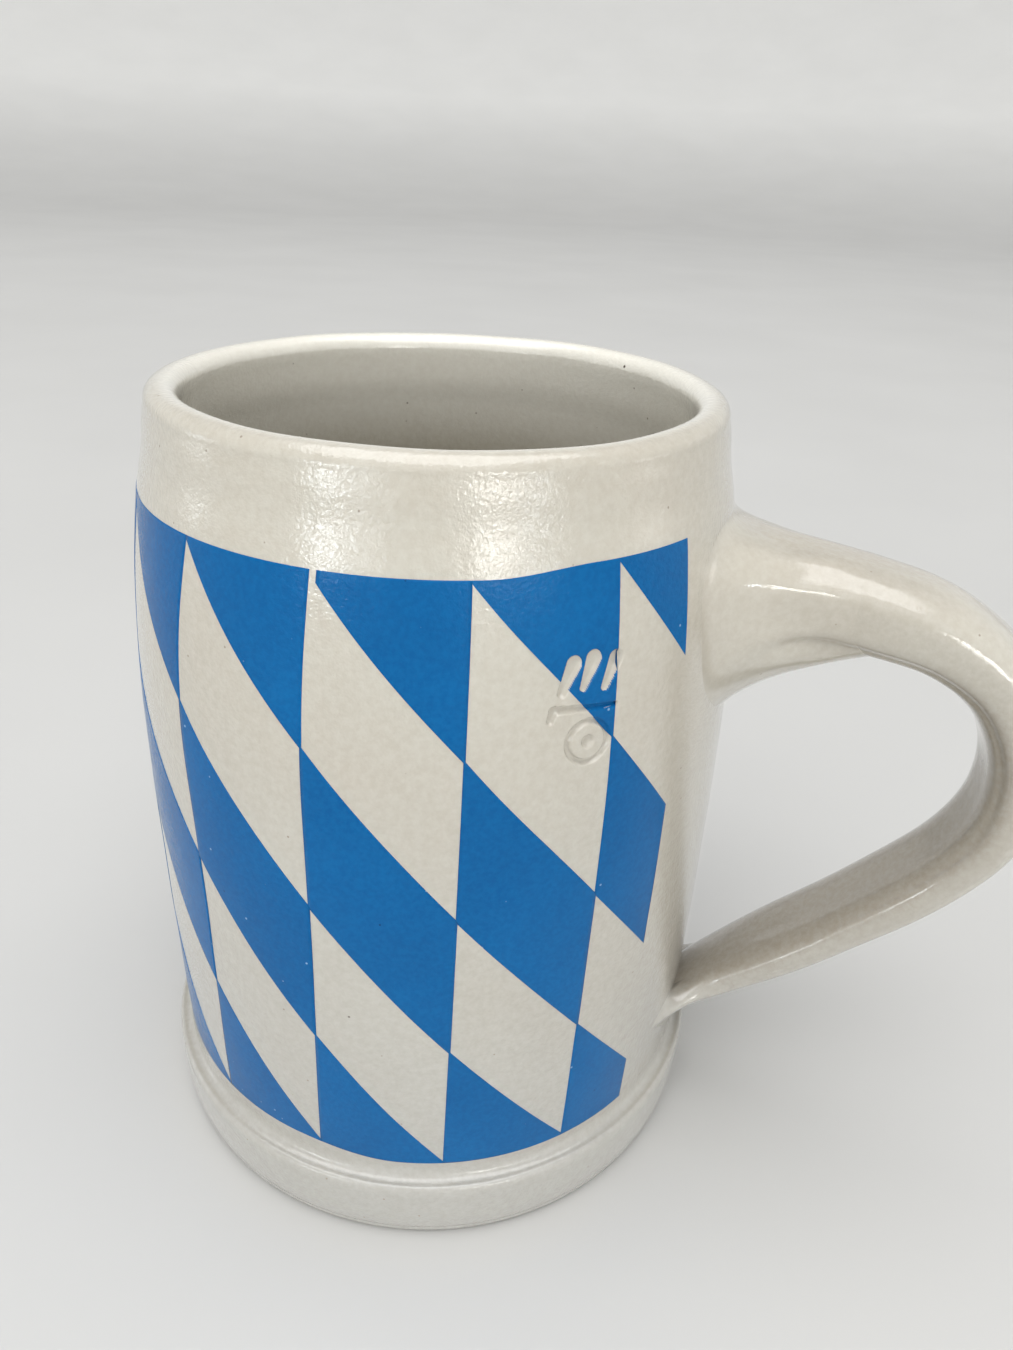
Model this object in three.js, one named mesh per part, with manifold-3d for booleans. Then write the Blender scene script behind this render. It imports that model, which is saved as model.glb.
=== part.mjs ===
// A half-litre salt-glazed stoneware beer mug: a barrel-shaped body on a foot band, a pulled strap
// handle luted on at two roots, and a band of separate blue enamel lozenges fired onto the wall.
// Millimetres, +Z up. The origin is the centre of the resting face, and the handle points along +X.

import * as THREE from 'three';
import { mergeVertices } from 'three/addons/utils/BufferGeometryUtils.js';
import Module from 'manifold-3d';

const wasm = await Module();
wasm.setup();

// ---------------------------------------------------------------- driving dimensions
const GAP = 0.3;               // left between neighbouring pieces

const HEIGHT = 127.6;          // resting face to the top of the lip
const BELLY_RADIUS = 47.5;     // widest part of the wall
const BELLY_HEIGHT = 70.6;     // height of the widest part
const LOWER_TAPER = 0.8;       // how far the wall draws in from the belly down to the foot
const NECK_TAPER = 6;          // how far the wall draws in from the belly up to the lip
const NECK_POWER = 2.2;        // how late and sharply the shoulder turns in

const WALL = 4.9;              // wall thickness at the foot
const LIP = 4.8;               // wall thickness at the lip, which is fully rounded
const FLOOR = 7;               // thickness of the floor
const FLOOR_FILLET = 9;        // radius between the floor and the wall inside

const BASE_RADIUS = 48.2;      // outer radius of the foot just above the resting face
const BASE_ROUND = 1.4;        // radius of the foot's bottom edge
const FOOT_RADIUS = 49.1;      // foot band at its widest
const FOOT_TOP = 12.2;         // top of the foot band, where it steps in to the wall
const FOOT_ROUND = 1.2;        // rounding of the band's top edge
const LEDGE_TOP = 14.4;        // where the hollow above the foot band has run out into the wall

const BAND_BOTTOM = 15.6;      // lower edge of the lozenge band
const ROW = 25;                // height of a lozenge row
const TOP_ROW = 23;            // the uppermost row is a little shorter
const ROWS = 4;
const COLUMN_ANGLE = 24.45;    // degrees of the wall that one column takes up
const BAND_START = 29.3;       // degrees from the handle to each cut end of the band
const FIRST_FRACTION = 0.645;  // width of the cut column on the start side, in columns
const BAND_LEAN = 0.7;         // degrees that the columns lean over, per row
const ENAMEL = 0.3;            // thickness of the enamel
const ENAMEL_INSET = 0.012;    // how far a lozenge stays back from the pattern's lines, in rows
const TIP_INSETS = 4;          // its sharp ends stay back by this many times as much

const STRAP_TOP_WIDTH = 18.4;  // across the handle at its upper end
const STRAP_LOW_WIDTH = 16.8;  // across the handle at its lower end
const STRAP_TOP_DEPTH = 14.6;  // thickness of the handle at its upper end
const STRAP_MID_DEPTH = 8.8;
const STRAP_LOW_DEPTH = 6.2;
const STRAP_SQUARENESS = 2.6;  // superellipse exponent of the section: 2 is an ellipse
const TWIST = 18;              // degrees that the strap's lower end is turned about its own path
const TWIST_SPAN = 0.25;       // share of the path, at that end, over which it turns
const ROOT_BURY = 4;           // how far a root runs into the wall before it is cut to it
const BURIED_WIDTH = 0.9;      // its width in there, as a share of its width on the wall
const WEB_POWER = 1.4;         // a root's inner side runs out more slowly than its other sides

// On the wall a root has this width, and it grows past the strap's outer and inner faces by
// this much. Its reach is a share of the strap's path.
const UPPER_ROOT = { width: 36, outer: 3.4, inner: 14.5, reach: 0.17 };
const LOWER_ROOT = { width: 34, outer: 3, inner: 0, reach: 0.1 };

const BODY_SEGMENTS = 72;
const WALL_STEPS = 12;
const STRAP_SIDES = 20;
const STRAP_STEPS = 34;
const ROOT_STEPS = 8;

const stoneware = { color: 0xd8d4c4, roughness: 0.35, metalness: 0 };
const enamelBlue = { color: 0x1a6db5, roughness: 0.45, metalness: 0 };

// ---------------------------------------------------------------- shared shapes
const radians = THREE.MathUtils.degToRad;
const lerp = THREE.MathUtils.lerp;

function outerRadius(z) {
  if (z < BELLY_HEIGHT) {
    return BELLY_RADIUS - LOWER_TAPER * ((BELLY_HEIGHT - z) / (BELLY_HEIGHT - BAND_BOTTOM)) ** 2;
  }
  return BELLY_RADIUS - NECK_TAPER * ((z - BELLY_HEIGHT) / (HEIGHT - BELLY_HEIGHT)) ** NECK_POWER;
}

function innerRadius(z) {
  return outerRadius(z) - lerp(WALL, LIP, (z / HEIGHT) ** 3);
}

// Points of an arc from one angle to another, in degrees, ends included.
function arc(r, z, radius, from, to, steps) {
  return Array.from({ length: steps + 1 }, (_, i) => {
    const angle = radians(lerp(from, to, i / steps));
    return new THREE.Vector2(r + radius * Math.cos(angle), z + radius * Math.sin(angle));
  });
}

// A solid of revolution about Z from a closed outline of radius and height.
function revolve(outline, segments) {
  return new THREE.LatheGeometry(outline, segments).rotateX(Math.PI / 2);
}

// A closed skin over rings of equal length, with a fan over each end.
function loft(rings) {
  const sides = rings[0].length;
  const positions = rings.flat().flatMap((p) => [p.x, p.y, p.z]);
  const faces = [];
  for (let k = 0; k + 1 < rings.length; k += 1) {
    for (let i = 0; i < sides; i += 1) {
      const a = k * sides + i;
      const b = k * sides + ((i + 1) % sides);
      faces.push(a, b, b + sides, a, b + sides, a + sides);
    }
  }
  const caps = [rings[0], rings[rings.length - 1]];
  caps.forEach((ring, end) => {
    const centre = ring.reduce((sum, p) => sum.add(p), new THREE.Vector3()).divideScalar(sides);
    const hub = positions.length / 3;
    const first = end * (rings.length - 1) * sides;
    positions.push(centre.x, centre.y, centre.z);
    for (let i = 0; i < sides; i += 1) {
      const a = first + i;
      const b = first + ((i + 1) % sides);
      faces.push(hub, ...(end ? [a, b] : [b, a]));
    }
  });
  const geometry = new THREE.BufferGeometry();
  geometry.setAttribute('position', new THREE.Float32BufferAttribute(positions, 3));
  geometry.setIndex(faces);
  return geometry;
}

// A superellipse ring across a path in the XZ plane, turned about the path by a twist.
function section(at, along, width, depth, twist) {
  const outward = new THREE.Vector3(-along.z, 0, along.x);
  const power = 2 / STRAP_SQUARENESS;
  const swell = (value) => Math.sign(value) * Math.abs(value) ** power;
  const spin = new THREE.Vector2();
  return Array.from({ length: STRAP_SIDES }, (_, i) => {
    const angle = (i / STRAP_SIDES) * 2 * Math.PI;
    spin.set((depth / 2) * swell(Math.cos(angle)), (width / 2) * swell(Math.sin(angle)));
    spin.rotateAround(new THREE.Vector2(), twist);
    return at.clone().addScaledVector(outward, spin.x).add(new THREE.Vector3(0, -spin.y, 0));
  });
}

// Booleans: a geometry becomes a solid, and a solid a geometry again.
function solid(geometry) {
  const plain = geometry.clone();
  plain.deleteAttribute('normal');
  plain.deleteAttribute('uv');
  const merged = mergeVertices(plain, 1e-4);
  const index = merged.index.array;
  const faces = [];
  for (let i = 0; i < index.length; i += 3) {
    const [a, b, c] = index.slice(i, i + 3);
    if (a !== b && b !== c && c !== a) faces.push(a, b, c);
  }
  return new wasm.Manifold(new wasm.Mesh({
    numProp: 3,
    vertProperties: new Float32Array(merged.attributes.position.array),
    triVerts: new Uint32Array(faces),
  }));
}

function toGeometry(manifold) {
  const { vertProperties, triVerts } = manifold.getMesh();
  const geometry = new THREE.BufferGeometry();
  geometry.setAttribute('position', new THREE.BufferAttribute(new Float32Array(vertProperties), 3));
  geometry.setIndex(new THREE.BufferAttribute(new Uint32Array(triVerts), 1));
  return geometry;
}

// ---------------------------------------------------------------- the body
// The wall, foot and floor are one clay piece. It rests on a flat unglazed face.
function footOutline() {
  return [
    new THREE.Vector2(0, 0),
    ...arc(BASE_RADIUS - BASE_ROUND, BASE_ROUND, BASE_ROUND, -90, 0, 3),
    new THREE.Vector2(FOOT_RADIUS, FOOT_TOP / 2),
    ...arc(FOOT_RADIUS - FOOT_ROUND, FOOT_TOP - FOOT_ROUND, FOOT_ROUND, 0, 75, 3),
    new THREE.Vector2(outerRadius(FOOT_TOP) + FOOT_ROUND / 4, FOOT_TOP + FOOT_ROUND / 2),
  ];
}

function mugBody() {
  const lipCentre = HEIGHT - LIP / 2;
  const heights = Array.from({ length: WALL_STEPS + 1 }, (_, i) => i / WALL_STEPS);
  const outside = heights.map((t) => lerp(LEDGE_TOP, lipCentre, t));
  const filletTop = FLOOR + FLOOR_FILLET;
  const inside = heights.map((t) => lerp(lipCentre, filletTop, t));
  const outline = [
    ...footOutline(),
    ...outside.slice(0, -1).map((z) => new THREE.Vector2(outerRadius(z), z)),
    ...arc(outerRadius(lipCentre) - LIP / 2, lipCentre, LIP / 2, 0, 180, 6),
    ...inside.slice(1, -1).map((z) => new THREE.Vector2(innerRadius(z), z)),
    ...arc(innerRadius(filletTop) - FLOOR_FILLET, filletTop, FLOOR_FILLET, 0, -90, 4),
    new THREE.Vector2(0, FLOOR),
  ];
  return revolve(outline, BODY_SEGMENTS);
}

// The room that the body takes up and the gap around it, to cut the handle's roots to the wall.
function bodyEnvelope() {
  const steps = Array.from({ length: 2 * WALL_STEPS + 1 }, (_, i) => i / (2 * WALL_STEPS));
  const wall = steps.map((t) => lerp(LEDGE_TOP, HEIGHT, t));
  const outline = [
    new THREE.Vector2(0, -GAP),
    new THREE.Vector2(FOOT_RADIUS + GAP, -GAP),
    new THREE.Vector2(FOOT_RADIUS + GAP, FOOT_TOP + GAP),
    ...wall.map((z) => new THREE.Vector2(outerRadius(z) + GAP, z)),
    new THREE.Vector2(0, HEIGHT),
  ];
  return solid(revolve(outline, BODY_SEGMENTS));
}

// ---------------------------------------------------------------- the handle
// The strap leaves the shoulder almost level, turns down round the fingers and comes back to
// the wall just above the foot.
const strapPath = new THREE.CatmullRomCurve3([
  new THREE.Vector3(44, 0, 104.1),
  new THREE.Vector3(54.5, 0, 102.6),
  new THREE.Vector3(65.5, 0, 101.1),
  new THREE.Vector3(77, 0, 98.1),
  new THREE.Vector3(86, 0, 91.6),
  new THREE.Vector3(90.7, 0, 81.6),
  new THREE.Vector3(90.7, 0, 70.1),
  new THREE.Vector3(86, 0, 60.1),
  new THREE.Vector3(71, 0, 43.6),
  new THREE.Vector3(54.5, 0, 28.6),
  new THREE.Vector3(46.5, 0, 21.1),
], false, 'centripetal');

function strapWidth(t) {
  return lerp(STRAP_TOP_WIDTH, STRAP_LOW_WIDTH, t);
}

function strapDepth(t) {
  if (t < 0.5) return lerp(STRAP_TOP_DEPTH, STRAP_MID_DEPTH, t * 2);
  return lerp(STRAP_MID_DEPTH, STRAP_LOW_DEPTH, t * 2 - 1);
}

function strapTwist(t) {
  return radians(TWIST) * Math.max(0, (t - 1 + TWIST_SPAN) / TWIST_SPAN) ** 2;
}

function strapRing(t) {
  const at = strapPath.getPointAt(t);
  return section(at, strapPath.getTangentAt(t), strapWidth(t), strapDepth(t), strapTwist(t));
}

const gapShare = GAP / strapPath.getLength();

function handleStrap() {
  const from = UPPER_ROOT.reach + gapShare;
  const to = 1 - LOWER_ROOT.reach - gapShare;
  return loft(Array.from({ length: STRAP_STEPS + 1 }, (_, k) => strapRing(lerp(from, to, k / STRAP_STEPS))));
}

// A root is the clay pressed round the end of the strap: it spreads from the strap's section to
// a wide pad on the wall. It runs on into the wall and is then cut to it.
function handleRoot(root, end, envelope) {
  const rings = Array.from({ length: ROOT_STEPS + 1 }, (_, k) => {
    const away = k / ROOT_STEPS;                       // 0 on the wall, 1 at the strap
    const t = end ? 1 - root.reach * away : root.reach * away;
    const flare = (1 - away) ** 2;
    const outer = root.outer * flare;
    const inner = root.inner * (1 - away) ** WEB_POWER;
    const along = strapPath.getTangentAt(t);
    const outward = new THREE.Vector3(-along.z, 0, along.x);
    const at = strapPath.getPointAt(t).addScaledVector(outward, (outer - inner) / 2);
    const width = lerp(strapWidth(t), root.width, flare);
    return section(at, along, width, strapDepth(t) + outer + inner, strapTwist(t));
  });
  const buried = rings[0].map((p) => p.clone().setX(p.x - ROOT_BURY).setY(p.y * BURIED_WIDTH));
  const ordered = [buried, ...rings];
  if (end) ordered.reverse();
  return toGeometry(solid(loft(ordered)).subtract(envelope));
}

// ---------------------------------------------------------------- the enamel
// The band is a grid of columns u and rows v, v counted down from its top edge. Every slanting
// line falls one row in one column, so a column holds a triangle, a lozenge and a triangle.
function rowHeight(v) {
  const top = BAND_BOTTOM + TOP_ROW + (ROWS - 1) * ROW;
  return top - Math.min(v, 1) * TOP_ROW - Math.max(v - 1, 0) * ROW;
}

function onWall(u, v, standoff) {
  const z = rowHeight(v);
  const angle = radians(-BAND_START + u * COLUMN_ANGLE + BAND_LEAN * (ROWS / 2 - v));
  const r = outerRadius(z) + standoff;
  return new THREE.Vector3(r * Math.cos(angle), r * Math.sin(angle), z);
}

// A skin between two edges given as v at each u.
function enamelPatch(from, to, upper, lower, across, down) {
  const rings = Array.from({ length: across + 1 }, (_, k) => {
    const u = lerp(from, to, k / across);
    const edge = (standoff) => Array.from({ length: down + 1 }, (_, i) =>
      onWall(u, lerp(upper(u), lower(u), i / down), standoff));
    return [...edge(GAP + ENAMEL), ...edge(GAP).reverse()];
  });
  return loft(rings);
}

// The lozenges of one column, whose pattern lines cross the top edge at u = line.
function enamelColumn(name, line, from, to) {
  const inset = ENAMEL_INSET;
  const left = from + inset;
  const right = to - inset;
  const slant = (drop) => (u) => u - line + drop;
  const tip = line + TIP_INSETS * inset;
  const lastTip = line + 1 - TIP_INSETS * inset;
  const slack = 2 * inset;
  return [
    [`${name}_top`, Math.max(left, tip), right, () => inset, slant(-slack), 4, 2],
    [`${name}_middle`, left, right, slant(1 + slack), slant(2 - slack), 4, 3],
    [`${name}_bottom`, left, Math.min(right, lastTip), slant(ROWS - 1 + slack), () => ROWS - inset, 4, 2],
  ].map(([label, a, b, upper, lower, across, down]) =>
    [label, enamelPatch(a, b, upper, lower, across, down)]);
}

// Columns run from the cut column beside the handle round to the other cut end.
function enamelBand() {
  const length = (360 - 2 * BAND_START) / COLUMN_ANGLE;
  const columns = Math.ceil(length - FIRST_FRACTION) + 1;
  return Array.from({ length: columns }, (_, c) => {
    const line = -(c + FIRST_FRACTION);
    return enamelColumn(`blue_lozenge_${String(c + 1).padStart(2, '0')}`, line,
      Math.max(line, -length), Math.min(line + 1, 0));
  }).flat();
}

// ---------------------------------------------------------------- the assembly
const mug = new THREE.Group();

function place(name, geometry, look) {
  const mesh = new THREE.Mesh(geometry, new THREE.MeshStandardMaterial(look));
  mesh.name = name;
  mug.add(mesh);
}

const envelope = bodyEnvelope();
place('mug_body', mugBody(), stoneware);
place('handle_strap', handleStrap(), stoneware);
place('upper_root_collar', handleRoot(UPPER_ROOT, 0, envelope), stoneware);
place('lower_root_pad', handleRoot(LOWER_ROOT, 1, envelope), stoneware);
enamelBand().forEach(([name, geometry]) => place(name, geometry, enamelBlue));

export default mug;
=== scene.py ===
"""The looks of a half-litre salt-glazed stoneware mug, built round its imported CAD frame.

The mug is worked out in millimetres in the frame's own axes and turned into metres when a mesh is made.
The room, the lights and the camera are in metres.
Angles go round the mug's axis from the handle, which points along +X.
"""

import math

import bpy
import numpy as np
from mathutils import Matrix, Vector


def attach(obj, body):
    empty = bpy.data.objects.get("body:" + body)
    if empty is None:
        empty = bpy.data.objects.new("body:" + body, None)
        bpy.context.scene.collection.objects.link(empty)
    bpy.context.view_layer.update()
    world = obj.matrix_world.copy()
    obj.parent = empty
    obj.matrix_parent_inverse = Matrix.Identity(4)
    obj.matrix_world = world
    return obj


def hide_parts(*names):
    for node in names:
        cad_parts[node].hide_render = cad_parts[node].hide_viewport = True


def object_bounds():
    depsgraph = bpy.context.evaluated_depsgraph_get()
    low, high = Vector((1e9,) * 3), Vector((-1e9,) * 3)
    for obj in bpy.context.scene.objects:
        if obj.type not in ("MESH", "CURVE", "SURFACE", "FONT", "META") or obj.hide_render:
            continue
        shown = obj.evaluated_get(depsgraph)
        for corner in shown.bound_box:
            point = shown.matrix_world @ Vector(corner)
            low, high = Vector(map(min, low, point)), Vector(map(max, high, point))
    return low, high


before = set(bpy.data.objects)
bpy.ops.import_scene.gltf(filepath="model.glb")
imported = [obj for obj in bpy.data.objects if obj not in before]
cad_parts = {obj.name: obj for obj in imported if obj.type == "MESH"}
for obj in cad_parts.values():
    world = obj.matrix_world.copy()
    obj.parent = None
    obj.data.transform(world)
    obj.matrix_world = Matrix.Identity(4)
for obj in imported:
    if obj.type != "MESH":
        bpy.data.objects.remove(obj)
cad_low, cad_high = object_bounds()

MM = 0.001

# ---------------------------------------------------------------- sizes, as in the CAD model
HEIGHT = cad_high.z / MM
BELLY_RADIUS, BELLY_HEIGHT = 47.5, 70.6
LOWER_TAPER, NECK_TAPER, NECK_POWER = 0.8, 6.0, 2.2
WALL, LIP, FLOOR, FLOOR_FILLET = 4.9, 4.8, 7.0, 9.0
BASE_RADIUS, BASE_ROUND = 48.2, 1.4
FOOT_RADIUS, FOOT_TOP, FOOT_ROUND = 49.1, 12.2, 1.2
LEDGE_TOP = 14.4

BAND_BOTTOM, ROW, TOP_ROW, ROWS = 15.6, 25.0, 23.0, 4
COLUMN_ANGLE, BAND_START, FIRST_FRACTION, BAND_LEAN = 24.45, 29.3, 0.645, 0.7

STRAP_WIDTH = (18.4, 16.8)                 # across the handle, at its upper and lower ends
STRAP_DEPTH = (14.6, 8.8, 6.2)             # its thickness at the top, middle and bottom
STRAP_SQUARENESS = 2.6
TWIST, TWIST_SPAN = 18, 0.25               # the lower end is turned this far, over this share of the path
STRAP_POINTS = (
    (44, 104.1), (54.5, 102.6), (65.5, 101.1), (77, 98.1), (86, 91.6), (90.7, 81.6),
    (90.7, 70.1), (86, 60.1), (71, 43.6), (54.5, 28.6), (46.5, 21.1),
)

# ---------------------------------------------------------------- finer shape, for the looks only
ENAMEL_STANDOFF = 0.05                     # the enamel's face stands this far off the clay
ENAMEL_DEPTH = 0.25                        # and its back is buried this far in it
ENAMEL_SPREAD = 0.14                       # the enamel spreads this far past the pattern's lines
NECK_GROOVE, GROOVE_HEIGHT = 0.3, 8.5      # a faint hollow runs round this far under the lip
MARK_ANGLE, MARK_HEIGHT = -49.2, 96.4      # middle of the pressed fill line
MARK_DEPTH = 0.55


def lerp(a, b, t):
    return a + (b - a) * t


def smooth(t):
    t = np.clip(t, 0, 1)
    return t * t * (3 - 2 * t)


def outer_radius(z):
    z = np.asarray(z, float)
    low = BELLY_RADIUS - LOWER_TAPER * ((BELLY_HEIGHT - z) / (BELLY_HEIGHT - BAND_BOTTOM)) ** 2
    rise = np.clip((z - BELLY_HEIGHT) / (HEIGHT - BELLY_HEIGHT), 0, None)
    return np.where(z < BELLY_HEIGHT, low, BELLY_RADIUS - NECK_TAPER * rise ** NECK_POWER)


def inner_radius(z):
    return outer_radius(z) - lerp(WALL, LIP, (np.asarray(z, float) / HEIGHT) ** 3)


def ripple(angle, z):
    """How far the clay stands off a true round, in mm: slow waves from throwing and drying."""
    return (
        0.13 * np.cos(2 * angle + 0.7)
        + 0.05 * np.cos(3 * angle - 1.9 + z / 31)
        + 0.03 * np.sin(5 * angle + z / 17)
        + 0.02 * np.sin(z / 3.1 + 0.6 * np.sin(angle))
        - NECK_GROOVE * np.exp(-((z - HEIGHT + GROOVE_HEIGHT) / 3.4) ** 2)
    )


# ---------------------------------------------------------------- meshes
def make_object(name, points, faces):
    mesh = bpy.data.meshes.new(name)
    mesh.from_pydata([tuple(p) for p in np.asarray(points) * MM], [], faces)
    mesh.validate()
    mesh.update()
    mesh.polygons.foreach_set("use_smooth", [True] * len(mesh.polygons))
    made = bpy.data.objects.new(name, mesh)
    bpy.context.scene.collection.objects.link(made)
    return made


def tube_faces(rings, sides, first=0):
    """Quads between rings of points that close on themselves."""
    faces = []
    for k in range(rings - 1):
        for i in range(sides):
            a, b = first + k * sides + i, first + k * sides + (i + 1) % sides
            faces.append((a, b, b + sides, a + sides))
    return faces


def closed_tube(name, rings):
    """A closed skin over rings of points, with a fan over each end."""
    rings = np.asarray(rings)
    count, sides = rings.shape[:2]
    points = np.vstack([rings.reshape(-1, 3), rings[0].mean(0), rings[-1].mean(0)])
    faces = tube_faces(count, sides)
    low_hub, high_hub, last = count * sides, count * sides + 1, (count - 1) * sides
    for i in range(sides):
        j = (i + 1) % sides
        faces.append((low_hub, j, i))
        faces.append((high_hub, last + i, last + j))
    return make_object(name, points, faces)


# ---------------------------------------------------------------- the pressed mark
# A plain fill line with a small hook, three slanting grains above it and a ring stamp below.
def stroke(x0, y0, x1, y1, start_width, end_width):
    """How far a place is from a stroke's middle, in half widths, for a stroke that may taper."""
    def distance(x, y):
        dx, dy = x1 - x0, y1 - y0
        t = np.clip(((x - x0) * dx + (y - y0) * dy) / (dx * dx + dy * dy), 0, 1)
        return np.hypot(x - x0 - t * dx, y - y0 - t * dy) / lerp(start_width / 2, end_width / 2, t)
    return distance


def ring(x0, y0, radius, width):
    return lambda x, y: np.abs(np.hypot(x - x0, y - y0) - radius) / (width / 2)


MARK_STROKES = (
    stroke(-4.7, 0.2, 4.4, -0.5, 1.1, 0.6),
    stroke(-4.5, 0.2, -5.0, -1.2, 1.2, 1.0),
    stroke(-3.6, 2.3, -1.9, 6.0, 1.2, 2.4),
    stroke(-0.6, 2.6, 0.9, 6.3, 1.0, 2.5),
    stroke(2.6, 2.2, 4.2, 5.8, 1.2, 2.2),
    ring(0.4, -5.0, 2.9, 0.9),
    ring(0.4, -5.0, 0.2, 1.5),
)


def mark_share(angle, z):
    """1 in the middle of a pressed stroke, 0 from its edge outwards."""
    x = (np.degrees(angle) - MARK_ANGLE + 180) % 360 - 180
    x = np.radians(x) * outer_radius(MARK_HEIGHT)
    nearest = np.minimum.reduce([distance(x, z - MARK_HEIGHT) for distance in MARK_STROKES])
    return smooth((1.15 - nearest) / 0.6)


def wall_point(angle, z, standoff=0.0):
    """A point on the outer wall, with its ripples and the pressed mark."""
    angle, z = np.broadcast_arrays(np.asarray(angle, float), np.asarray(z, float))
    r = outer_radius(z) + ripple(angle, z) - MARK_DEPTH * mark_share(angle, z) + standoff
    return np.stack([r * np.cos(angle), r * np.sin(angle), z], -1)


# ---------------------------------------------------------------- the body
MARK_REACH, MARK_TURN = 9, 8               # the mesh is fine this many mm and degrees round the mark
FINE_RISE, FINE_TURN = 0.15, 0.18          # and has steps of this many mm and degrees there
INSIDE_POINTS = 140                        # the section's last points, on the lip and the inside


def stepped(low, high, step, fine_low, fine_high, fine_step):
    """Values from low to high, closer together between fine_low and fine_high."""
    parts = []
    for a, b, s in ((low, fine_low, step), (fine_low, fine_high, fine_step), (fine_high, high, step)):
        parts.append(np.linspace(a, b, max(2, round((b - a) / s)) + 1)[:-1])
    return np.concatenate(parts + [[high]])


def arc(r, z, radius, start, end, steps):
    turn = np.radians(np.linspace(start, end, steps + 1))
    return np.stack([r + radius * np.cos(turn), z + radius * np.sin(turn)], 1)


def bend(points, steps):
    """A smooth curve through the corner points of a short polyline, as a Bezier."""
    points = np.asarray(points, float)
    degree = len(points) - 1
    t = np.linspace(0, 1, steps + 1)[:, None]
    return sum(
        math.comb(degree, i) * (1 - t) ** (degree - i) * t ** i * points[i] for i in range(degree + 1)
    )


def body_section():
    """Radius and height all along the body's section, from the foot's middle to the floor's."""
    lip_centre = HEIGHT - LIP / 2
    fillet_top = FLOOR + FLOOR_FILLET
    outside = stepped(
        LEDGE_TOP, lip_centre, 1.0, MARK_HEIGHT - MARK_REACH, MARK_HEIGHT + MARK_REACH, FINE_RISE
    )
    inside = np.linspace(lip_centre, fillet_top, 80)
    wall_at_ledge = float(outer_radius(LEDGE_TOP))
    ledge = bend([
        (FOOT_RADIUS - FOOT_ROUND * 0.6, FOOT_TOP),
        (wall_at_ledge + 0.55, FOOT_TOP + 0.05),
        (wall_at_ledge + 0.05, FOOT_TOP + 0.55),
        (wall_at_ledge, LEDGE_TOP),
    ], 12)
    return np.vstack([
        np.stack([np.linspace(0.4, 1, 24) * (BASE_RADIUS - BASE_ROUND), np.zeros(24)], 1)[:-1],
        arc(BASE_RADIUS - BASE_ROUND, BASE_ROUND, BASE_ROUND, -90, -4, 10),
        bend([(BASE_RADIUS, 1.6), (FOOT_RADIUS, 3.4), (FOOT_RADIUS, FOOT_TOP - FOOT_ROUND * 1.6)], 14),
        bend([
            (FOOT_RADIUS, FOOT_TOP - FOOT_ROUND * 1.5),
            (FOOT_RADIUS, FOOT_TOP - 0.1),
            (FOOT_RADIUS - FOOT_ROUND * 0.6, FOOT_TOP),
        ], 10)[:-1],
        ledge[:-1],
        np.stack([outer_radius(outside), outside], 1)[:-1],
        arc(float(outer_radius(lip_centre)) - LIP / 2, lip_centre, LIP / 2, 0, 180, 28),
        np.stack([inner_radius(inside), inside], 1)[1:-1],
        arc(float(inner_radius(fillet_top)) - FLOOR_FILLET, fillet_top, FLOOR_FILLET, 0, -90, 18),
        np.stack([np.linspace(0.9, 0.1, 12) * 32, np.full(12, FLOOR)], 1),
    ])


def make_body():
    section = body_section()
    mark = 360 + MARK_ANGLE
    angles = np.radians(stepped(0, 360, 1.0, mark - MARK_TURN, mark + MARK_TURN, FINE_TURN)[:-1])
    r, z = section[:, 0][:, None], section[:, 1][:, None]
    turn = angles[None, :]
    outside = (z > LEDGE_TOP) & (np.arange(len(section))[:, None] < len(section) - INSIDE_POINTS)
    pressed = np.where(outside, MARK_DEPTH * mark_share(turn, z + 0 * turn), 0)
    share = np.clip(r / 30, 0, 1)
    radius = r + ripple(turn, z) * share - pressed
    lift = 0.12 * np.sin(2 * turn + 0.4) + 0.06 * np.sin(5 * turn + 2) + 0.03 * np.sin(11 * turn)
    height = z + lift * smooth((z - HEIGHT + 14) / 14)
    points = np.stack([radius * np.cos(turn), radius * np.sin(turn), height + 0 * turn], -1)
    return closed_tube("stoneware_body", points)


# ---------------------------------------------------------------- the enamel
def row_height(v):
    """The height of a row line. The top row is lower than the others."""
    top = BAND_BOTTOM + TOP_ROW + (ROWS - 1) * ROW
    return top - np.minimum(v, 1) * TOP_ROW - np.maximum(v - 1, 0) * ROW


def drift(angle, v):
    """How far the hand-laid band is off its own grid, in degrees and in mm."""
    columns = np.clip((-68 - angle) / COLUMN_ANGLE, 0, 2.6)
    left = -1.1 * columns ** 1.45 * np.exp(-((v - 0.8) / 0.9) ** 2)
    left = left * smooth((angle + 230) / 60)
    right_end_up = smooth((angle + 66) / 18) * np.clip(1 - v / 3.2, 0, 1)
    left_foot_up = 1.2 * smooth((-80 - angle) / 20) * np.clip((v - 2.5) / 1.5, 0, 1)
    return left + 0.2, right_end_up + left_foot_up * smooth((angle + 200) / 40)


def on_band(u, v, standoff):
    """A point on the band, u columns and v rows from its upper end by the handle."""
    angle = -BAND_START + u * COLUMN_ANGLE + BAND_LEAN * (ROWS / 2 - v)
    turned, raised = drift(angle, v)
    turn, z = np.radians(angle + turned), row_height(v) + raised
    pressed, bare = mark_share(turn, z), show_clay(z)
    rise, drop = 0.1 * pressed * (1 - bare), 0.35 * smooth((pressed - 0.3) / 0.3) * bare
    return wall_point(turn, z, standoff + rise - drop)


def show_clay(z):
    """The enamel is missing from the mark's grains, but it runs over the fill line."""
    return smooth((z - MARK_HEIGHT - 1.2) / 0.6)


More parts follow.
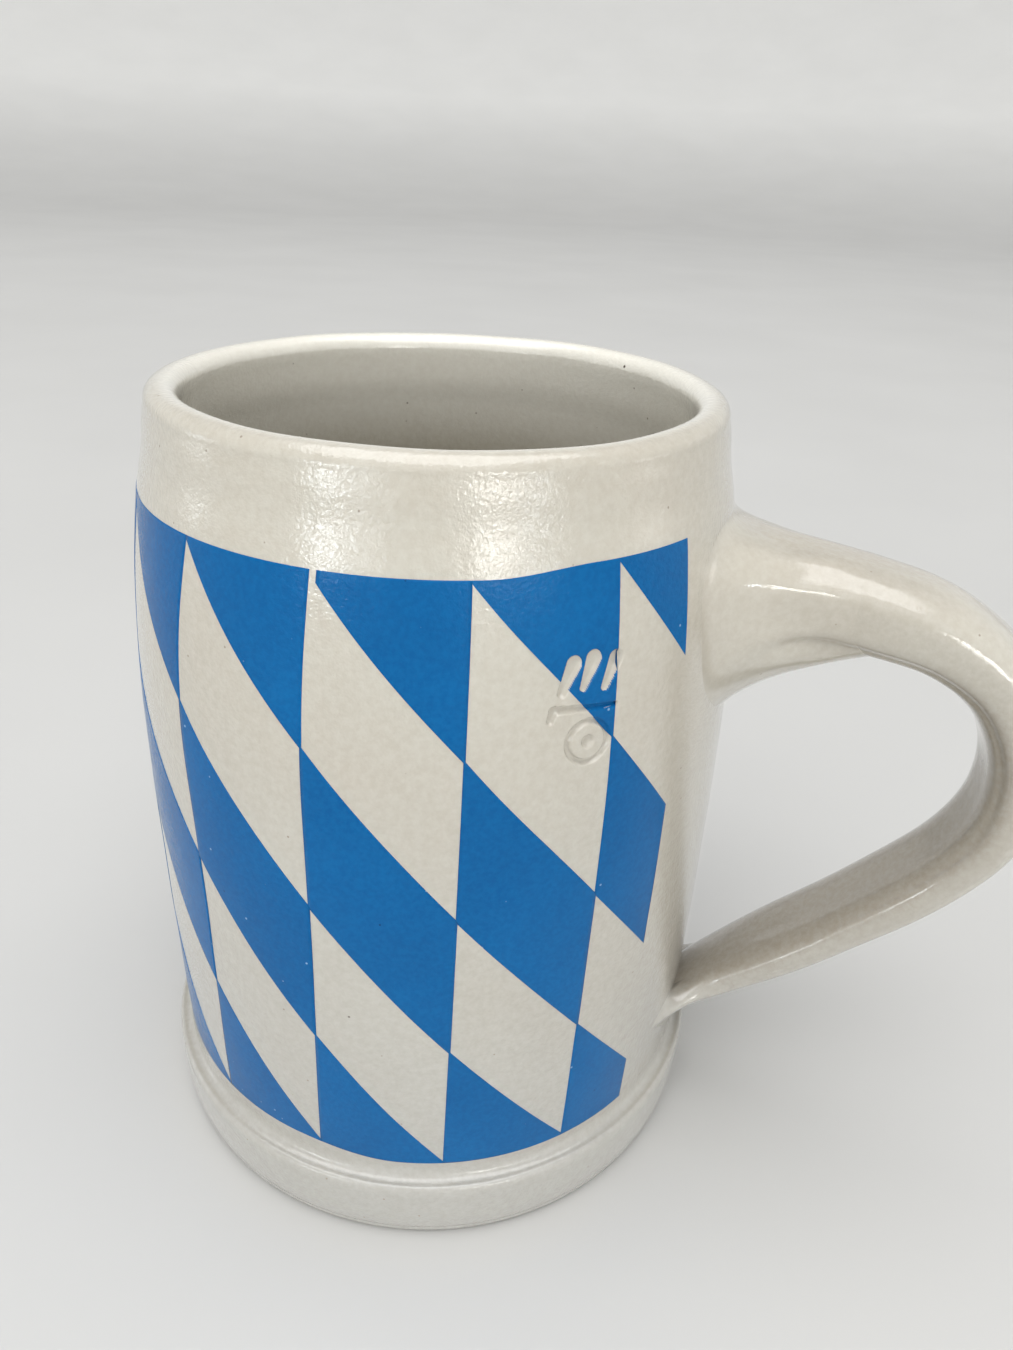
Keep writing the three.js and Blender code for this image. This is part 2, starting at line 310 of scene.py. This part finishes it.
def make_island(name, left, right, upper, lower, across, down, standoff):
    """A closed film of enamel between two edges given as v at each u."""
    u = np.linspace(left, right, across + 1)[:, None]
    share = np.linspace(0, 1, down + 1)[None, :]
    v = lerp(upper(u), lower(u), share)
    face = on_band(u + 0 * v, v, standoff)
    back = wall_point(np.arctan2(face[..., 1], face[..., 0]), face[..., 2], -ENAMEL_DEPTH)
    return closed_tube(name, np.concatenate([face, back[:, ::-1]], 1))


# The last column before the handle was trimmed by hand, a few tenths of a degree off in each part.
CUT_END_TRIM = {"top": 0.5, "middle": -1.0, "bottom": 0.2}
GAPPED_LINE, TOP_GAP = 2, 1.0              # one column's tip starts this many mm late at the top edge


def make_enamel():
    length = (360 - 2 * BAND_START) / COLUMN_ANGLE
    column_width = math.radians(COLUMN_ANGLE) * BELLY_RADIUS
    side = ENAMEL_SPREAD / column_width
    fall = ENAMEL_SPREAD * math.hypot(1, ROW / column_width) / ROW
    flat_top = lambda u: 0 * u - 0.004
    flat_bottom = lambda u: 0 * u + ROWS + 0.004
    islands = []
    for c in range(math.ceil(length - FIRST_FRACTION) + 1):
        line = -(c + FIRST_FRACTION)
        left = max(line - side, -length)
        standoff = ENAMEL_STANDOFF + 0.006 * (c % 2)

        def slant(drop, line=line):
            return lambda u: np.clip(u - line + drop, 0, ROWS)

        tip = line - fall + 0.012 + (TOP_GAP / column_width if c == GAPPED_LINE else 0)
        last_tip = line + 1 + fall - 0.012
        for part, a, b, upper, lower in (
            ("top", max(left, tip), line + 1 + side, flat_top, slant(fall)),
            ("middle", left, line + 1 + side, slant(1 - fall), slant(2 + fall)),
            ("bottom", left, min(line + 1 + side, last_tip), slant(ROWS - 1 - fall), flat_bottom),
        ):
            b = min(b, CUT_END_TRIM[part] / COLUMN_ANGLE)
            across, down = (150, 180) if c < 2 and part == "top" else (36, 60)
            island = make_island(f"lozenge_{c + 1:02d}_{part}", a, b, upper, lower, across, down, standoff)
            islands.append((island, f"blue_lozenge_{c + 1:02d}_{part}"))
    return islands


# ---------------------------------------------------------------- the handle
def strap_path(samples=4000):
    """Points all along the strap's middle, as a centripetal Catmull-Rom curve through STRAP_POINTS."""
    p = np.asarray(STRAP_POINTS, float)
    p = np.vstack([2 * p[0] - p[1], p, 2 * p[-1] - p[-2]])
    spans = len(p) - 3
    made = []
    for k in range(spans):
        a, b, c, d = p[k:k + 4]
        gaps = np.sqrt(np.linalg.norm(np.diff(p[k:k + 4], axis=0), axis=1))
        knots = np.concatenate([[0], np.cumsum(gaps)])
        t = np.linspace(knots[1], knots[2], samples // spans, endpoint=k == spans - 1)[:, None]
        t0, t1, t2, t3 = knots
        ab, bc, cd = (
            (x * (v - t) + y * (t - u)) / (v - u)
            for x, y, u, v in ((a, b, t0, t1), (b, c, t1, t2), (c, d, t2, t3))
        )
        abc = (ab * (t2 - t) + bc * (t - t0)) / (t2 - t0)
        bcd = (bc * (t3 - t) + cd * (t - t1)) / (t3 - t1)
        made.append((abc * (t2 - t) + bcd * (t - t1)) / (t2 - t1))
    return np.vstack(made)


PATH = strap_path()
PATH_LENGTH = np.concatenate([[0], np.cumsum(np.linalg.norm(np.diff(PATH, axis=0), axis=1))])
PATH_SHARE = PATH_LENGTH / PATH_LENGTH[-1]
PATH_ALONG = np.gradient(PATH, PATH_LENGTH, axis=0)


def wrapped(theta, centre, width):
    """A bump round the section, 1 at its centre, for angles in degrees."""
    off = (np.degrees(theta) - centre + 180) % 360 - 180
    return np.exp(-(off / width) ** 2)


def strap_ridges(t, theta):
    """The soft edges and hollows that wet fingers draw along a pulled handle."""
    edges = 0.10 * (wrapped(theta, 50, 20) + wrapped(theta, 310, 20))
    sides = -0.22 * (wrapped(theta, 92, 22) + wrapped(theta, 268, 22))
    creases = -0.28 * (wrapped(theta, 127, 9) + wrapped(theta, 236, 9)) * smooth((0.62 - t) / 0.2)
    inner = -0.35 * wrapped(theta, 172, 16) * smooth((t - 0.3) / 0.2) * smooth((0.92 - t) / 0.1)
    waves = 0.07 * np.sin(3 * theta + 9 * t) + 0.06 * np.sin(2 * theta - 14 * t) + 0.05 * np.sin(40 * t)
    return edges + sides + creases + inner + waves


def strap_point(t, theta, extra=0.0):
    """A point on the strap's skin. t runs along it from 0 to 1, and theta round it from its outer
    face by way of its -Y side."""
    at = np.stack([np.interp(t, PATH_SHARE, PATH[:, k]) for k in (0, 1)], -1)
    along = np.stack([np.interp(t, PATH_SHARE, PATH_ALONG[:, k]) for k in (0, 1)], -1)
    outward = np.stack([-along[..., 1], along[..., 0]], -1)
    grow = extra + strap_ridges(t, theta)
    power = 2 / STRAP_SQUARENESS
    width = lerp(STRAP_WIDTH[0], STRAP_WIDTH[1], t) / 2 + grow
    depth = np.interp(t, (0, 0.5, 1), STRAP_DEPTH) / 2 + grow
    across = np.sign(np.sin(theta)) * np.abs(np.sin(theta)) ** power * width
    out = np.sign(np.cos(theta)) * np.abs(np.cos(theta)) ** power * depth
    twist = math.radians(TWIST) * np.clip((t - 1 + TWIST_SPAN) / TWIST_SPAN, 0, 1) ** 2
    out, across = out * np.cos(twist) - across * np.sin(twist), out * np.sin(twist) + across * np.cos(twist)
    return np.stack([at[..., 0] + outward[..., 0] * out, -across, at[..., 1] + outward[..., 1] * out], -1)


SIDES = 180
ROUND = np.linspace(0, 2 * math.pi, SIDES, endpoint=False)


def make_strap():
    t = np.linspace(0.02, 0.99, 260)[:, None]
    theta = ROUND[None, :]
    return closed_tube("pulled_strap", strap_point(t + 0 * theta, theta + 0 * t))


def on_wall_across(y, z, standoff):
    """The wall's point at a given Y and Z on the handle's side."""
    return wall_point(np.arcsin(np.clip(y / outer_radius(z), -1, 1)), z, standoff)


def closed_curve(knots):
    """Values at every angle in ROUND, smoothly through knots of (degrees, value, value)."""
    knots = np.asarray(knots, float)
    degrees = np.concatenate([knots[-2:, 0] - 360, knots[:, 0], knots[:2, 0] + 360])
    values = np.vstack([knots[-2:, 1:], knots[:, 1:], knots[:2, 1:]])
    slopes = np.gradient(values, degrees, axis=0)
    at = np.degrees(ROUND)
    k = np.searchsorted(degrees, at, side="right") - 1
    span = (degrees[k + 1] - degrees[k])[:, None]
    x = ((at - degrees[k]) / span[:, 0])[:, None]
    ease = x * x * (3 - 2 * x)
    start, end = slopes[k] * span, slopes[k + 1] * span
    made = lerp(values[k], values[k + 1], ease) + x * (1 - x) ** 2 * start - x * x * (1 - x) * end
    return made.T


def fillet_skin(name, first, leave, arrive, foot, buried_start, buried_end, shape):
    """A root's skin: a Bezier at every angle from the strap to the wall, with its ends buried."""
    a = np.linspace(0, 1, 70)[:, None, None]
    strap_end = (1 - a) ** 3 * first + 3 * (1 - a) ** 2 * a * leave
    wall_end = 3 * (1 - a) * a * a * arrive + a ** 3 * foot
    skin = strap_end + wall_end
    away = skin - skin.mean(1, keepdims=True)
    away /= np.linalg.norm(away, axis=2, keepdims=True)
    skin = skin + away * shape(a[..., 0], ROUND[None, :])[..., None]
    return closed_tube(name, np.concatenate([buried_start[None], skin, buried_end[None]]))


def collar_shape(a, theta):
    """Thumb marks: a crease where the web starts under the strap, and a soft shoulder above it."""
    middle = np.sin(math.pi * np.clip(a / 0.62, 0, 1)) ** 1.5
    crease = -1.0 * (wrapped(theta, 122, 11) + 0.7 * wrapped(theta, 240, 13)) * middle
    shoulder = 0.35 * wrapped(theta, 66, 13) * np.sin(math.pi * a) ** 1.2
    dents = 0.10 * np.sin(5 * theta + 7 * a) * np.sin(math.pi * a)
    dents += 0.07 * np.sin(9 * theta - 11 * a) * middle
    return crease + shoulder + dents


# Where a root's skin ends on the wall: degrees round the strap, then Y and Z in mm.
COLLAR_FOOT = (
    (0, 0, 113.6), (38, -13, 112.8), (68, -17.6, 107.5), (98, -18, 98),
    (130, -15, 89.5), (158, -7.5, 84.3), (180, 0, 82.6), (202, 7.5, 84.3),
    (230, 15, 89.5), (262, 17.6, 97), (292, 16.6, 105.5), (322, 12, 111.2),
)
PAD_FOOT = (
    (0, 0, 16.0), (35, -8, 18.0), (62, -13, 22.0), (84, -17.4, 25.6),
    (100, -14.2, 27.6), (122, -9.8, 27.6), (150, -5.0, 26.0), (180, 0, 24.0),
    (210, 4.5, 22.4), (238, 9.0, 21.0), (262, 12.5, 19.5), (296, 12, 17.0), (328, 7.5, 16.0),
)
COLLAR_MIDDLE, PAD_MIDDLE = 103.5, 23      # the height that each skin closes in on inside the wall
FOOT_DEPTH, BURIED_DEPTH = 0.06, 1.5       # a skin meets the wall just below its face, and ends deeper
WALL_ROUND = 90                            # about the wall's width, in mm


def tangent_rise(y, inside):
    """How far the wall's tangent stands off the wall, this share of the way in from a foot at Y."""
    return (y * inside) ** 2 / WALL_ROUND


def make_upper_root():
    under = wrapped(ROUND, 180, 55)
    start = lerp(0.145, 0.19, under)
    first = strap_point(start, ROUND, -0.02)
    leave = strap_point(start - lerp(0.07, 0.06, under), ROUND)
    leave[:, 2] += 0.4 * wrapped(ROUND, 0, 50) - 4.3 * under
    y, z = closed_curve(COLLAR_FOOT)
    foot = on_wall_across(y, z, -FOOT_DEPTH)
    inside = lerp(0.34, 0.22, under)
    arrive = on_wall_across(y * (1 - inside), lerp(z, COLLAR_MIDDLE, inside), tangent_rise(y, inside))
    arrive[:, 0] += 3.2 * under
    buried_start = strap_point(start + 0.004, ROUND, -BURIED_DEPTH)
    buried_end = on_wall_across(y * 0.95, lerp(z, COLLAR_MIDDLE - 1.5, 0.05), -BURIED_DEPTH)
    return fillet_skin(
        "root_collar_upper", first, leave, arrive, foot, buried_start, buried_end, collar_shape
    )


def pad_shape(a, theta):
    """Faint dents where the clay was smeared out."""
    return 0.10 * np.sin(6 * theta + 8 * a) * np.sin(math.pi * a)


def make_lower_root():
    # theta 0 is the strap's outer face, which is the lower side here
    inner = wrapped(ROUND, 180, 62)
    first = strap_point(np.full(SIDES, 0.90), ROUND, -0.02)
    leave = strap_point(np.full(SIDES, 0.945), ROUND, 0.0)
    y, z = closed_curve(PAD_FOOT)
    foot = on_wall_across(y, z, -FOOT_DEPTH)
    inside = lerp(0.38, 0.05, inner)
    arrive = on_wall_across(y * (1 - inside), lerp(z, PAD_MIDDLE, inside), tangent_rise(y, inside))
    straight = lerp(leave, foot, 0.6)
    arrive = arrive * (1 - inner[:, None]) + straight * inner[:, None]
    buried_start = strap_point(np.full(SIDES, 0.896), ROUND, -BURIED_DEPTH)
    buried_end = on_wall_across(y * 0.95, lerp(z, PAD_MIDDLE, 0.05), -BURIED_DEPTH)
    return fillet_skin("root_pad_lower", first, leave, arrive, foot, buried_start, buried_end, pad_shape)


# ---------------------------------------------------------------- materials
# Roughness, from the glossiest spots to the dullest.
GLOSS_BODY, GLOSS_HANDLE, GLOSS_ENAMEL = (0.10, 0.18), (0.08, 0.15), (0.14, 0.24)

# Colour ramps: stops of a place from 0 to 1 and a linear colour.
CLAY_WARM = ((0.30, (0.565, 0.518, 0.438)), (0.50, (0.580, 0.543, 0.465)), (0.72, (0.595, 0.572, 0.500)))
CLAY_GREY = ((0.30, (0.430, 0.423, 0.398)), (0.70, (0.462, 0.458, 0.438)))
CLAY_GRAINS = ((0.34, (0.46, 0.41, 0.33)), (0.66, (0.66, 0.64, 0.57)))
# Painted shade and light inside the cup: the clay darkens deep down and is paler than outside near the lip.
CUP_INSIDE_PAINTED_SHADE_AND_LIGHT = ((0.0, (0.300, 0.262, 0.180)), (1.0, (0.950, 0.925, 0.835)))
ENAMEL_CLOUDS = (
    (0.3, (0.0012, 0.104, 0.310)), (0.55, (0.0016, 0.122, 0.352)), (0.75, (0.0028, 0.140, 0.390)),
)
ENAMEL_GRAINS = ((0.35, (0.001, 0.075, 0.25)), (0.65, (0.005, 0.150, 0.41)))
TABLE_TONES = ((0.3, (0.590, 0.587, 0.572)), (0.7, (0.620, 0.617, 0.602)))

# Painted shade on the handle's faces that turn toward the mug.
HANDLE_INSIDE_PAINTED_SHADE = (0.290, 0.256, 0.208)
PALE_SPECKS, DARK_SPECKS = (0.36, 0.31, 0.25), (0.10, 0.075, 0.055)
ENAMEL_PALE_SPECKS, ENAMEL_DARK_SPECKS = (0.22, 0.40, 0.60), (0.002, 0.05, 0.16)


def new_material(name):
    material = bpy.data.materials.new(name)
    material.use_nodes = True
    tree = material.node_tree
    return material, tree, tree.nodes["Principled BSDF"]


def add_node(tree, kind, inputs=None, **settings):
    node = tree.nodes.new(kind)
    for key, value in settings.items():
        setattr(node, key, value)
    for key, value in (inputs or {}).items():
        node.inputs[key].default_value = value
    return node


def noise(tree, where, scale, detail, rough=0.5):
    made = add_node(tree, "ShaderNodeTexNoise", {"Scale": scale, "Detail": detail, "Roughness": rough})
    tree.links.new(where, made.inputs["Vector"])
    return made.outputs["Fac"]


def ramp(tree, value, *stops):
    made = add_node(tree, "ShaderNodeValToRGB")
    while len(made.color_ramp.elements) < len(stops):
        made.color_ramp.elements.new(0.5)
    for element, (position, color) in zip(made.color_ramp.elements, stops):
        element.position = position
        element.color = (*color, 1)
    tree.links.new(value, made.inputs["Fac"])
    return made.outputs["Color"]


def mix(tree, factor, a, b):
    made = add_node(tree, "ShaderNodeMix", data_type="RGBA")
    for socket, value in ((made.inputs[0], factor), (made.inputs[6], a), (made.inputs[7], b)):
        if isinstance(value, bpy.types.NodeSocket):
            tree.links.new(value, socket)
        else:
            socket.default_value = value if socket.type == "VALUE" else (*value, 1)
    return made.outputs[2]


def scale_range(tree, value, low, high, new_low, new_high):
    made = add_node(tree, "ShaderNodeMapRange", {
        "From Min": low, "From Max": high, "To Min": new_low, "To Max": new_high,
    })
    tree.links.new(value, made.inputs["Value"])
    return made.outputs["Result"]


def bump(tree, height, strength, distance, normal=None):
    made = add_node(tree, "ShaderNodeBump", {"Strength": strength, "Distance": distance})
    tree.links.new(height, made.inputs["Height"])
    if normal:
        tree.links.new(normal, made.inputs["Normal"])
    return made.outputs["Normal"]


def math_node(tree, operation, a, b):
    made = add_node(tree, "ShaderNodeMath", operation=operation)
    for socket, value in ((made.inputs[0], a), (made.inputs[1], b)):
        if isinstance(value, bpy.types.NodeSocket):
            tree.links.new(value, socket)
        else:
            socket.default_value = value
    return made.outputs[0]


def specks(tree, where, scale, size, keep):
    """1 inside scattered round specks: scale cells to the metre, size in cells, keep the share of cells."""
    cells = add_node(tree, "ShaderNodeTexVoronoi", {"Scale": scale})
    tree.links.new(where, cells.inputs["Vector"])
    inside = scale_range(tree, cells.outputs["Distance"], size * 0.6, size, 1, 0)
    pick = add_node(tree, "ShaderNodeSeparateColor")
    tree.links.new(cells.outputs["Color"], pick.inputs["Color"])
    chosen = math_node(tree, "LESS_THAN", pick.outputs["Red"], keep)
    return math_node(tree, "MULTIPLY", inside, chosen)


def glaze_bump(tree, where, grain):
    """Salt glaze: a fine orange peel over slow waves."""
    peel = bump(tree, noise(tree, where, 3400, 1, 0.5), grain, 0.00002)
    pits = bump(tree, noise(tree, where, 1800, 2, 0.5), grain, 0.00006, peel)
    return bump(tree, noise(tree, where, 170, 2, 0.5), 1.0, 0.00010, pits)


def inside_share(tree, where, blend):
    """1 where the surface faces the mug's axis, and 0 where it faces away, blended over this much."""
    facing = add_node(tree, "ShaderNodeVectorMath", operation="DOT_PRODUCT")
    tree.links.new(where, facing.inputs[0])
    across = add_node(tree, "ShaderNodeVectorMath", {1: (1, 1, 0)}, operation="MULTIPLY")
    tree.links.new(add_node(tree, "ShaderNodeNewGeometry").outputs["Normal"], across.inputs[0])
    tree.links.new(across.outputs[0], facing.inputs[1])
    return scale_range(tree, facing.outputs["Value"], -blend, blend, 1, 0)


def stoneware_material(name, handle=False):
    """Grey-cream clay under a clear salt glaze, greyer toward the foot, with painted shade and light inside
    the cup and painted shade on the handle's inner faces.
    """
    material, tree, shader = new_material(name)
    where = add_node(tree, "ShaderNodeTexCoord").outputs["Object"]
    place = add_node(tree, "ShaderNodeSeparateXYZ")
    tree.links.new(where, place.inputs["Vector"])

    clouds = noise(tree, where, 30, 4, 0.55)
    grey_share = scale_range(tree, place.outputs["Z"], 0.004, 0.110, 0.95, 0.0)
    color = mix(tree, grey_share, ramp(tree, clouds, *CLAY_WARM), ramp(tree, clouds, *CLAY_GREY))
    if handle:
        # Painted shade: the handle's faces toward the mug are darker.
        color = mix(tree, inside_share(tree, where, 0.030), color, HANDLE_INSIDE_PAINTED_SHADE)
    else:
        # Painted shade and light inside the cup: darker below 102 mm, paler above 115 mm.
        depth = scale_range(tree, place.outputs["Z"], 0.102, 0.115, 0.0, 1.0)
        color = mix(tree, inside_share(tree, where, 0.015), color, ramp(tree, depth, *CUP_INSIDE_PAINTED_SHADE_AND_LIGHT))
    grains = noise(tree, where, 900, 3, 0.65)
    color = mix(tree, 0.22, color, ramp(tree, grains, *CLAY_GRAINS))
    color = mix(tree, specks(tree, where, 330, 0.07, 0.35), color, PALE_SPECKS)
    color = mix(tree, specks(tree, where, 95, 0.030, 0.45), color, DARK_SPECKS)
    tree.links.new(color, shader.inputs["Base Color"])

    glossiest, dullest = GLOSS_HANDLE if handle else GLOSS_BODY
    gloss = scale_range(tree, noise(tree, where, 420, 3, 0.6), 0.3, 0.7, glossiest, dullest)
    tree.links.new(gloss, shader.inputs["Roughness"])
    glaze = glaze_bump(tree, where, 0.4 if handle else 1.0)
    tree.links.new(glaze, shader.inputs["Normal"])
    tree.links.new(glaze, shader.inputs["Coat Normal"])
    shader.inputs["IOR"].default_value = 1.5
    shader.inputs["Coat Weight"].default_value = 0.8
    shader.inputs["Coat Roughness"].default_value = 0.05
    return material


def enamel_material():
    """Deep blue enamel, duller than the clay's glaze, with pale and dark specks."""
    material, tree, shader = new_material("blue_enamel")
    where = add_node(tree, "ShaderNodeTexCoord").outputs["Object"]
    clouds = ramp(tree, noise(tree, where, 45, 4, 0.6), *ENAMEL_CLOUDS)
    color = mix(tree, 0.25, clouds, ramp(tree, noise(tree, where, 1300, 2, 0.6), *ENAMEL_GRAINS))
    color = mix(tree, specks(tree, where, 700, 0.16, 0.05), color, ENAMEL_PALE_SPECKS)
    color = mix(tree, specks(tree, where, 330, 0.07, 0.25), color, ENAMEL_DARK_SPECKS)
    tree.links.new(color, shader.inputs["Base Color"])
    gloss = scale_range(tree, noise(tree, where, 500, 3, 0.6), 0.3, 0.7, *GLOSS_ENAMEL)
    tree.links.new(gloss, shader.inputs["Roughness"])
    tree.links.new(glaze_bump(tree, where, 1.0), shader.inputs["Normal"])
    shader.inputs["IOR"].default_value = 1.5
    shader.inputs["Specular IOR Level"].default_value = 0.15
    return material


# ---------------------------------------------------------------- putting the mug together
clay_look = stoneware_material("salt_glazed_stoneware")
handle_look = stoneware_material("handle_glaze", handle=True)
enamel_look = enamel_material()

pieces = [
    (make_body(), "mug_body", "stoneware_body", clay_look),
    (make_strap(), "handle_strap", "stoneware_handle", handle_look),
    (make_upper_root(), "upper_root_collar", "stoneware_root", handle_look),
    (make_lower_root(), "lower_root_pad", "stoneware_root", handle_look),
]
pieces += [(island, node, "enamel_blue", enamel_look) for island, node in make_enamel()]
for piece, node, slot, look in pieces:
    piece.data.materials.append(look)
    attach(piece, "root")
    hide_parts(node)

# ---------------------------------------------------------------- floor, light and camera
DAYLIGHT, WARM_LIGHT = (0.90, 0.96, 1.0), (1.0, 0.985, 0.94)
WINDOW_DISTANCE, WINDOW_BEAM = 1.9, 26
LIGHTS_AIM = Vector((0, 0, 0.07))

# Name, azimuth and elevation, width and height in degrees, radiance and colour.
WINDOWS = (
    ("window_left_high", -24, 6.2, (12, 3.2), 14, DAYLIGHT),
    ("window_left_low", -24, 1.0, (12, 3.2), 14, DAYLIGHT),
    ("window_left_side", -10, 3.5, (8, 8), 4, DAYLIGHT),
    ("window_right_high", 35, 8.2, (15, 4.5), 14, WARM_LIGHT),
    ("window_right_low", 35, 2.6, (15, 3.6), 12, WARM_LIGHT),
    ("window_right_side", 50, 1.4, (9, 3), 14, DAYLIGHT),
    ("window_far_left", -79, 3.0, (10, 8), 4, DAYLIGHT),
    ("window_far_right", 99, 4.0, (14, 12), 2, WARM_LIGHT),
)


def make_floor():
    """A round table top that turns up far away into a plain backdrop, which glows with painted light the
    higher it rises.
    """
    sides, flat, flat_rings, rise, steps = 128, 2.4, 30, 3.0, 40
    turn = np.linspace(0, 2 * math.pi, sides, endpoint=False)
    up = np.linspace(0, math.pi / 2, steps)
    radii = np.concatenate([np.linspace(0.05, flat, flat_rings), flat + rise * np.sin(up[1:])]) / MM
    heights = np.concatenate([np.zeros(flat_rings), rise * (1 - np.cos(up[1:]))]) / MM
    rings = [
        np.stack([r * np.cos(turn), r * np.sin(turn), 0 * turn + h], -1) for r, h in zip(radii, heights)
    ]
    points = np.concatenate([np.zeros((1, 3)), *rings])
    faces = [(0, 1 + i, 1 + (i + 1) % sides) for i in range(sides)]
    faces += [face[::-1] for face in tube_faces(len(rings), sides, first=1)]
    floor = make_object("floor", points, faces)
    material, tree, shader = new_material("pale_table")
    where = add_node(tree, "ShaderNodeTexCoord").outputs["Object"]
    color = ramp(tree, noise(tree, where, 6, 3), *TABLE_TONES)
    tree.links.new(color, shader.inputs["Base Color"])
    place = add_node(tree, "ShaderNodeSeparateXYZ")
    tree.links.new(where, place.inputs["Vector"])
    # Painted light: the backdrop glows, more the higher it rises.
    painted_backdrop_glow = scale_range(tree, place.outputs["Z"], 0.0, 0.3, 0.0, 0.24)
    tree.links.new(painted_backdrop_glow, shader.inputs["Emission Strength"])
    shader.inputs["Emission Color"].default_value = (1, 1, 0.97, 1)
    shader.inputs["Roughness"].default_value = 0.5
    floor.data.materials.append(material)


def add_light(name, azimuth, elevation, distance, size, radiance, color=(1, 1, 1), beam=180):
    """A light that faces the mug, of this size in degrees. Azimuth 0 is the -Y side, and 90 the +X side.
    A narrow beam keeps it off the table near it, and isn't brighter on the mug."""
    a, e = math.radians(azimuth), math.radians(elevation)
    back = Vector((math.sin(a) * math.cos(e), -math.cos(a) * math.cos(e), math.sin(e)))
    data = bpy.data.lights.new(name, "AREA")
    data.shape = "RECTANGLE"
    data.size, data.size_y = (2 * distance * math.tan(math.radians(degrees / 2)) for degrees in size)
    data.energy = radiance * math.pi * data.size * data.size_y
    if beam < 180:
        half = math.radians(beam / 2)
        data.spread = 2 * half
        data.energy *= 1 - half / math.tan(half)
    data.color = color
    light = bpy.data.objects.new(name, data)
    light.location = LIGHTS_AIM + back * distance
    light.rotation_mode = "QUATERNION"
    light.rotation_quaternion = back.to_track_quat("Z", "Y")
    light.visible_camera = False
    bpy.context.scene.collection.objects.link(light)


def set_world():
    """An even, weak light from all sides."""
    world = bpy.data.worlds.new("soft_room")
    world.use_nodes = True
    background = world.node_tree.nodes["Background"]
    background.inputs["Color"].default_value = (0.97, 0.98, 1.0, 1)
    background.inputs["Strength"].default_value = 0.36
    bpy.context.scene.world = world


CAMERA_PLACE = (0.04505, -0.14375, 0.15779)
HEADING, PITCH, ROLL = 13.04, 27.78, 2.66  # degrees: to the left of +Y, down, and leaning
LENS, SENSOR_WIDTH = 26.67, 36             # in mm


def set_camera():
    """The view from in front and a little to the right of the body, looking down over the lip."""
    data = bpy.data.cameras.new("camera")
    data.sensor_width = SENSOR_WIDTH
    data.lens = LENS
    data.clip_start = 0.005
    data.clip_end = 20
    camera = bpy.data.objects.new("camera", data)
    turn = Matrix.Rotation(math.radians(HEADING), 4, "Z")
    turn = turn @ Matrix.Rotation(math.radians(90 - PITCH), 4, "X")
    turn = turn @ Matrix.Rotation(math.radians(ROLL), 4, "Z")
    camera.matrix_world = Matrix.Translation(CAMERA_PLACE) @ turn
    bpy.context.scene.collection.objects.link(camera)
    bpy.context.scene.camera = camera


make_floor()
set_world()
for name, azimuth, elevation, size, radiance, color in WINDOWS:
    add_light(name, azimuth, elevation, WINDOW_DISTANCE, size, radiance, color, WINDOW_BEAM)
add_light("soft_key", 8, 42, 2.1, (56, 40), 0.65)
add_light("soft_overhead", 0, 80, 3.6, (60, 60), 2.5)
set_camera()
bpy.context.scene.view_settings.view_transform = "Standard"
